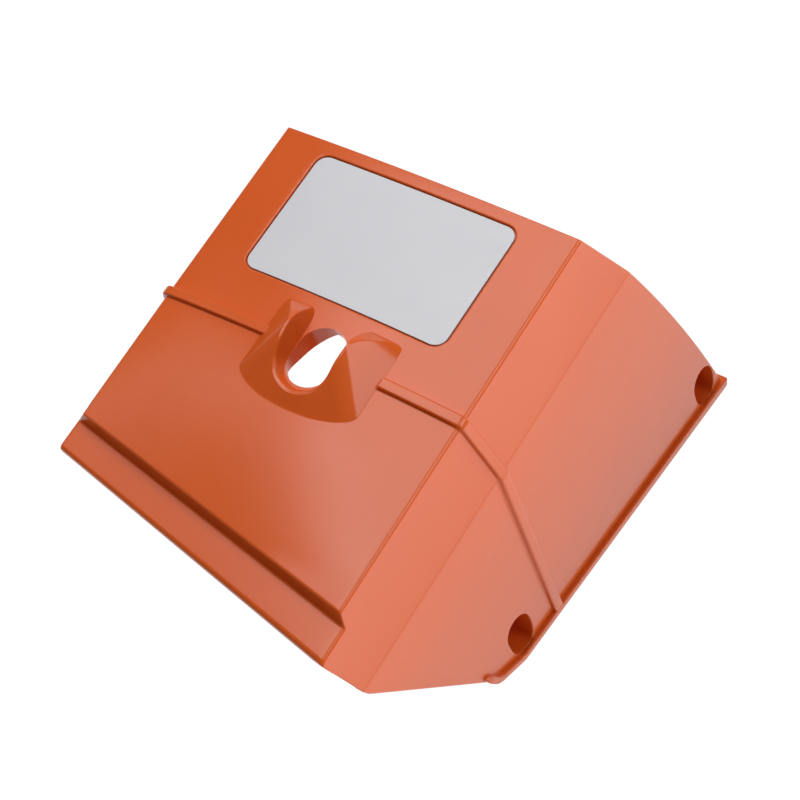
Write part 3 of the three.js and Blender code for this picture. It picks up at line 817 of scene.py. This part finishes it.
# ---- flange lip ----------------------------------------------------------------------------------
def lip_edges():
    """The lip's lower and upper edge in (y, z), from the rear corner's tail to the front end."""
    up = unit(rear_edge(0) - rear_edge(1))
    corner_y = REAR_FOOT_Y - CORNER_OUT - CORNER_BULGE
    corner = np.array([corner_y, kink_z(corner_y)])
    front = FRONT_FOOT_Y + RAIL_DROP
    low = [
        corner + up * LIP_TAIL + np.array([CORNER_BULGE, 0]),
        corner + up * CORNER_ABOVE[0],
        corner + up * CORNER_ABOVE[1],
        np.array([corner_y + CORNER_AHEAD, kink_z(corner_y + CORNER_AHEAD)]),
        np.array([KINK_Y - KINK_HALF, kink_z(KINK_Y - KINK_HALF)]),
        np.array([KINK_Y + KINK_HALF, flange_z(KINK_Y + KINK_HALF)]),
        np.array([front, flange_z(front)]),
    ]
    high = []
    for k, p in enumerate(low):
        along = unit(low[min(len(low) - 1, k + 1)] - low[max(0, k - 1)])
        high.append(p + np.array([-along[1], along[0]]) * lip_height(p[0]))
    return [rounded_path(edge, LIP_BEND_RADII, segments=4) for edge in (low, high)]


def lip_loop(low, high, inset):
    """The lip's section between two points of its edges; inset shrinks it at a rounded end."""
    height = np.linalg.norm(high - low)
    inner_x = SHOULDER_X - WALL - RAIL_INSET
    outer_x = SHOULDER_X + LIP_REACH - inset
    square = rounded_path(
        [(inner_x, inset), (outer_x, inset), (outer_x, height - inset), (inner_x, height - inset)],
        [0, *LIP_EDGE_RADII, 0], segments=4)
    return [(x, *lerp(low, high, h / height)) for x, h in square]


def rounded_lip_end(low, high, narrowing, length):
    """The lip's sections around its first end, from the end inwards."""
    inward = unit(low[1] - low[0])
    loops = []
    for degrees in (85, 60, 30, 0):
        angle = math.radians(degrees)
        shift = inward * length * (1 - math.sin(angle))
        loops.append(lip_loop(low[0] + shift, high[0] + shift, narrowing * (1 - math.cos(angle))))
    return loops


def flange_lip():
    low, high = lip_edges()
    loops = rounded_lip_end(low, high, *LIP_TAIL_END)
    loops += [lip_loop(p, q, 0.0) for p, q in zip(low, high)][1:-1]
    loops += rounded_lip_end(low[::-1], high[::-1], *LIP_FRONT_END)[::-1]
    return loft("flange_lip", loops)


def rib(y):
    loops = []
    for x in spread(RIB_END_GAP - TOP_HALF_WIDTH, TOP_HALF_WIDTH - RIB_END_GAP, RIB_STEPS):
        under = top_z(x, y) - WALL
        low = under - RIB_DEPTH
        high = under + RIB_SUNK
        loops.append([(x, y, low), (x, y, high), (x, y + RIB_THICK, high), (x, y + RIB_THICK, low)])
    return loft("rib", loops)


# ---- the shell, complete -------------------------------------------------------------------------
def cover_shell():
    shell = shell_wall()
    for y in RIB_YS:
        cut_or_join(shell, rib(y), "UNION")
    cut_or_join(shell, boss_wall(), "UNION")
    cut_or_join(shell, slot_skirt(), "UNION")
    for y in POCKET_YS:
        cut_or_join(shell, pocket_housing(y), "UNION")
    cut_or_join(shell, corner_wedge(), "DIFFERENCE")
    cut_or_join(shell, flange_lip(), "UNION")
    cut_or_join(shell, slot_body(0.0, -OPENING_REACH, OPENING_REACH), "DIFFERENCE")
    for y in POCKET_YS:
        cut_or_join(shell, pocket_tool(y), "DIFFERENCE")
        cut_or_join(shell, screw_hole(y), "DIFFERENCE")
    cut_or_join(shell, recess_tool(), "DIFFERENCE")
    smooth_by_angle(shell, SHELL_SHARP_DEGREES)
    return shell


# ---- materials -----------------------------------------------------------------------------------
def new_material(name):
    material = bpy.data.materials.new(name)
    material.use_nodes = True
    nodes = material.node_tree.nodes
    return material, nodes, material.node_tree.links, nodes["Principled BSDF"]


def add_noise(nodes, links, scale, detail, source):
    noise = nodes.new("ShaderNodeTexNoise")
    noise.inputs["Scale"].default_value = scale
    noise.inputs["Detail"].default_value = detail
    links.new(source, noise.inputs["Vector"])
    return noise.outputs["Fac"]


def add_ramp(nodes, links, source, stops):
    ramp = nodes.new("ShaderNodeValToRGB")
    for k, (position, colour) in enumerate(stops):
        element = ramp.color_ramp.elements[k] if k < 2 else ramp.color_ramp.elements.new(position)
        element.position = position
        element.color = (*colour, 1)
    links.new(source, ramp.inputs["Fac"])
    return ramp.outputs["Color"]


def grey(value):
    return (value, value, value)


def orange_plastic():
    material, nodes, links, shader = new_material("orange_plastic")
    place = nodes.new("ShaderNodeTexCoord").outputs["Object"]
    cloud = add_noise(nodes, links, 18, 3, place)
    colour = add_ramp(nodes, links, cloud, [(0.3, (0.585, 0.088, 0.0115)), (0.7, (0.615, 0.096, 0.013))])
    links.new(colour, shader.inputs["Base Color"])
    rough = add_ramp(nodes, links, add_noise(nodes, links, 60, 4, place),
                     [(0.3, grey(0.19)), (0.7, grey(0.23))])
    links.new(rough, shader.inputs["Roughness"])
    shader.inputs["IOR"].default_value = 1.41
    peel = add_noise(nodes, links, 900, 2, place)
    bump = nodes.new("ShaderNodeBump")
    bump.inputs["Strength"].default_value = 0.05
    bump.inputs["Distance"].default_value = 0.0002
    links.new(peel, bump.inputs["Height"])
    links.new(bump.outputs["Normal"], shader.inputs["Normal"])
    return material


def plate_grey():
    material, nodes, links, shader = new_material("plate_grey")
    place = nodes.new("ShaderNodeTexCoord").outputs["Object"]
    cloud = add_noise(nodes, links, 30, 3, place)
    colour = add_ramp(nodes, links, cloud, [(0.3, (0.545, 0.545, 0.572)), (0.7, (0.565, 0.565, 0.59))])
    links.new(colour, shader.inputs["Base Color"])
    rough = add_ramp(nodes, links, add_noise(nodes, links, 200, 3, place),
                     [(0.3, grey(0.42)), (0.7, grey(0.5))])
    links.new(rough, shader.inputs["Roughness"])
    return material


def film_cream():
    material, nodes, links, shader = new_material("film_cream")
    place = nodes.new("ShaderNodeTexCoord").outputs["Object"]
    colour = add_ramp(nodes, links, add_noise(nodes, links, 300, 2, place),
                      [(0.3, (0.75, 0.72, 0.6)), (0.7, (0.8, 0.77, 0.66))])
    links.new(colour, shader.inputs["Base Color"])
    shader.inputs["Roughness"].default_value = 0.7
    return material


def dress(obj, node, material):
    obj.data.materials.clear()
    obj.data.materials.append(material)
    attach(obj, "root")
    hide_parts(node)


shell = cover_shell()
dress(shell, "cover_shell", orange_plastic())
plate = nameplate()
smooth_by_angle(plate, PLATE_SHARP_DEGREES)
dress(plate, "nameplate", plate_grey())
film = adhesive_film()
smooth_by_angle(film, PLATE_SHARP_DEGREES)
dress(film, "nameplate_adhesive_film", film_cream())


# ---- camera, floor and light ---------------------------------------------------------------------
CAMERA_AZIMUTH = 54.80
CAMERA_ELEVATION = 57.185
CAMERA_ROLL = -25.81
CAMERA_DISTANCE_MM = 718.62
CAMERA_TARGET_MM = np.array([0.39, -20.48, -69.63])
LENS_MM = 90
SENSOR_MM = 36

# The floor and the lights are in metres. The floor's glow rises across FLOOR_RIGHT_X and fades
# towards the back across FLOOR_BACK_Y.
FLOOR_HALF = 6.0
FLOOR_GAP = 0.0005
FLOOR_GLOW = 1.01
FLOOR_RIGHT_GLOW = 2.9
FLOOR_RIGHT_X = (0.2, 0.34)
FLOOR_BACK_SHARE = 0.3
FLOOR_BACK_Y = (-1.0, -0.45)

# Name, place, size and power in watts of each area light.
SOFTBOXES = (
    ("overhead_softbox", (-0.14, 0.30, 1.15), (0.68, 0.92), 8.4),
    ("overhead_dim_softbox", (-0.56, 0.18, 1.15), (0.16, 0.7), 0.6),
    ("right_softbox", (0.78, 0.36, 0.92), (0.55, 0.55), 4.0),
    ("front_softbox", (-0.6, 1.15, 0.6), (1.4, 0.7), 2.0),
    ("left_softbox", (-0.9, 0.0, 1.0), (0.5, 0.6), 0.7),
)
LIGHT_TARGET = Vector((0, 0, 0.16))
WORLD_GLOW = 0.1


def aim(obj, target):
    direction = target - obj.location
    obj.rotation_euler = direction.to_track_quat("-Z", "Y").to_euler()


def add_camera():
    data = bpy.data.cameras.new("camera")
    data.lens = LENS_MM
    data.sensor_width = SENSOR_MM
    camera = bpy.data.objects.new("camera", data)
    bpy.context.scene.collection.objects.link(camera)
    azimuth = math.radians(CAMERA_AZIMUTH)
    elevation = math.radians(CAMERA_ELEVATION)
    outward = Vector((math.sin(azimuth) * math.cos(elevation),
                      -math.cos(azimuth) * math.cos(elevation), math.sin(elevation)))
    target = Vector(ORIGIN + CAMERA_TARGET_MM * MM)
    camera.location = target + outward * CAMERA_DISTANCE_MM * MM
    level = (-outward).to_track_quat("-Z", "Y").to_matrix()
    camera.rotation_euler = (level @ Matrix.Rotation(math.radians(CAMERA_ROLL), 3, "Z")).to_euler()
    bpy.context.scene.camera = camera


def add_floor():
    """A white light table: even where the camera looks, brighter to the right, darker far behind."""
    corners = [(x * FLOOR_HALF, y * FLOOR_HALF, 0) for x, y in ((-1, -1), (1, -1), (1, 1), (-1, 1))]
    mesh = bpy.data.meshes.new("floor")
    mesh.from_pydata(corners, [], [(0, 1, 2, 3)])
    floor = bpy.data.objects.new("floor", mesh)
    bpy.context.scene.collection.objects.link(floor)
    floor.location = (0, 0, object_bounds()[0][2] - FLOOR_GAP)
    material, nodes, links, shader = new_material("floor_white")
    place = nodes.new("ShaderNodeSeparateXYZ")
    links.new(nodes.new("ShaderNodeTexCoord").outputs["Object"], place.inputs["Vector"])
    glow = nodes.new("ShaderNodeMath")
    glow.operation = "MULTIPLY"
    ramps = (("X", FLOOR_RIGHT_X, (FLOOR_GLOW, FLOOR_RIGHT_GLOW)),
             ("Y", FLOOR_BACK_Y, (FLOOR_BACK_SHARE, 1.0)))
    for k, (axis, places, values) in enumerate(ramps):
        reach = nodes.new("ShaderNodeMapRange")
        reach.inputs["From Min"].default_value = places[0]
        reach.inputs["From Max"].default_value = places[1]
        reach.inputs["To Min"].default_value = values[0]
        reach.inputs["To Max"].default_value = values[1]
        links.new(place.outputs[axis], reach.inputs["Value"])
        links.new(reach.outputs["Result"], glow.inputs[k])
    shader.inputs["Base Color"].default_value = (0.02, 0.02, 0.02, 1)
    shader.inputs["Roughness"].default_value = 1.0
    shader.inputs["Emission Color"].default_value = (1, 1, 1, 1)
    links.new(glow.outputs["Value"], shader.inputs["Emission Strength"])
    mesh.materials.append(material)


def add_softbox(name, place, size, power):
    data = bpy.data.lights.new(name, "AREA")
    data.shape = "RECTANGLE"
    data.size = size[0]
    data.size_y = size[1]
    data.energy = power
    light = bpy.data.objects.new(name, data)
    bpy.context.scene.collection.objects.link(light)
    light.location = place
    aim(light, LIGHT_TARGET)


def add_world():
    world = bpy.data.worlds.new("studio")
    world.use_nodes = True
    background = world.node_tree.nodes["Background"]
    background.inputs["Color"].default_value = (1, 1, 1, 1)
    background.inputs["Strength"].default_value = WORLD_GLOW
    bpy.context.scene.world = world
    bpy.context.scene.view_settings.view_transform = "Standard"


add_camera()
add_floor()
for softbox in SOFTBOXES:
    add_softbox(*softbox)
add_world()
